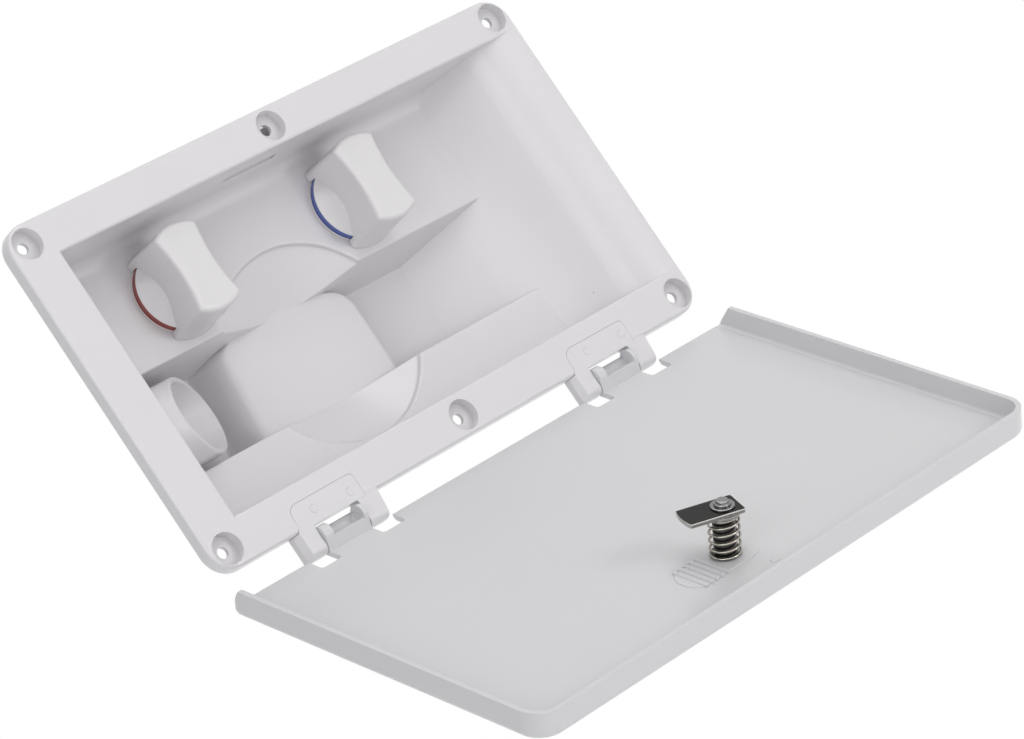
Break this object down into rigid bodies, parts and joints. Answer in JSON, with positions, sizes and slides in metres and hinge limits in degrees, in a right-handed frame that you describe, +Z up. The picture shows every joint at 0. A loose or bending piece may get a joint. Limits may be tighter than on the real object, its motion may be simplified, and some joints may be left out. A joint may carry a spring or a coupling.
{
  "type": "recessed shower unit",
  "caption": "White moulded shower recess with hot and cold quarter-turn taps, a slanted hose socket and a hinged door with a sprung lift-and-turn latch",
  "frame": {"origin": "centre of the flange's screw pattern, on the flange's back face", "axes": "+X along the hinge line towards the cold tap, +Y into the wall, +Z up"},
  "size_m": [0.3192, 0.2413, 0.3114],
  "materials": {
    "moulding": "polished",
    "door": "polished",
    "foam": "closed cell foam",
    "stainless": "satin",
    "dark_steel": "polished",
    "brass": "machined",
    "plated": "plated",
    "rubber": "matt",
    "red": "gloss",
    "blue": "gloss",
    "ceramic": "lapped",
    "pipe": "moulded"
  },
  "bodies": {
    "wall_box": {"recess_box": "moulding", "flange_gasket": "foam", "left_hinge_clip": "moulding", "right_hinge_clip": "moulding", "mixing_pipe": "pipe", "outlet_tail": "brass", "hose_socket": "moulding", "socket_seal": "rubber", "socket_nut": "pipe", "hot_fixed_disc": "ceramic", "hot_disc_seal": "rubber", "hot_valve_body": "brass", "hot_panel_nut": "plated", "hot_panel_seal": "rubber", "hot_inlet_tail": "brass", "cold_fixed_disc": "ceramic", "cold_disc_seal": "rubber", "cold_valve_body": "brass", "cold_panel_nut": "plated", "cold_panel_seal": "rubber", "cold_inlet_tail": "brass"},
    "door": {"door_panel": "door", "latch_bush": "pipe", "latch_spring": "stainless"},
    "latch_lift": {"spring_washer": "stainless"},
    "latch_turn": {"latch_shaft": "dark_steel", "latch_handle": "door", "cam_plate": "dark_steel", "cam_washer": "stainless", "cam_rivet": "dark_steel"},
    "hot_tap": {"hot_knob": "moulding", "hot_colour_ring": "red", "hot_spindle": "brass", "hot_turning_disc": "ceramic"},
    "cold_tap": {"cold_knob": "moulding", "cold_colour_ring": "blue", "cold_spindle": "brass", "cold_turning_disc": "ceramic"}
  },
  "joints": [
    {"name": "door_hinge", "type": "hinge", "parent": "wall_box", "child": "door", "pos_m": [0, -0.0052, -0.0936], "axis": [1, 0, 0], "range_deg": [-132.3, 0]},
    {"name": "latch_pull", "type": "slide", "parent": "door", "child": "latch_lift", "axis": [0, 0.673, -0.7396], "range_m": [0, 0.003], "stiffness_N_per_m": 1500, "springref_m": -0.004, "deforming": ["latch_spring"]},
    {"name": "latch_turn", "type": "hinge", "parent": "latch_lift", "child": "latch_turn", "pos_m": [-0.0059, -0.11199, -0.19808], "axis": [0, -0.673, 0.7396], "range_deg": [0, 112]},
    {"name": "hot_turn", "type": "hinge", "parent": "wall_box", "child": "hot_tap", "pos_m": [-0.068, 0.0327, 0.0386], "axis": [0, -1, 0], "range_deg": [0, 90]},
    {"name": "cold_turn", "type": "hinge", "parent": "wall_box", "child": "cold_tap", "pos_m": [0.043, 0.0327, 0.0386], "axis": [0, -1, 0], "range_deg": [0, 90]}
  ]
}
